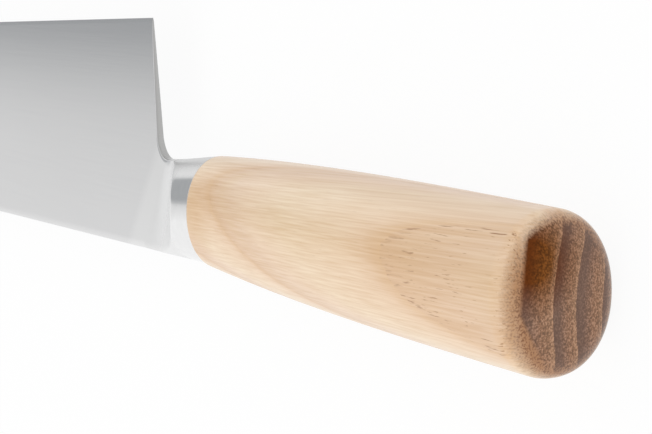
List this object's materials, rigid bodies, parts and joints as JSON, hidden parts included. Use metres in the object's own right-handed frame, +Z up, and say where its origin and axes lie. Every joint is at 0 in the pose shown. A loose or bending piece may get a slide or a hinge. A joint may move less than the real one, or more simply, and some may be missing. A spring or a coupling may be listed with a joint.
{
  "type": "gyuto knife",
  "caption": "Chef's knife for slicing and chopping: a tall blade with a curved edge, a polished steel bolster and an oval wooden handle glued on a hidden tang.",
  "frame": {"origin": "on the surface that the knife lies on, under the middle of its outer box", "axes": "+X along the knife towards the tip, +Y from the edge towards the spine, +Z up, square to the blade's flank"},
  "size_m": [0.3556, 0.049, 0.0197],
  "materials": {
    "blade_steel": "satin ground stainless steel",
    "bolster_steel": "mirror polished stainless steel",
    "handle_wood": "pale ring-porous wood, sanded and clear finished, end grain dark with oil",
    "epoxy": "cured amber epoxy"
  },
  "bodies": {
    "root": {"blade": "blade_steel", "bolster": "bolster_steel", "handle": "handle_wood", "tang_adhesive": "epoxy"}
  },
  "joints": []
}
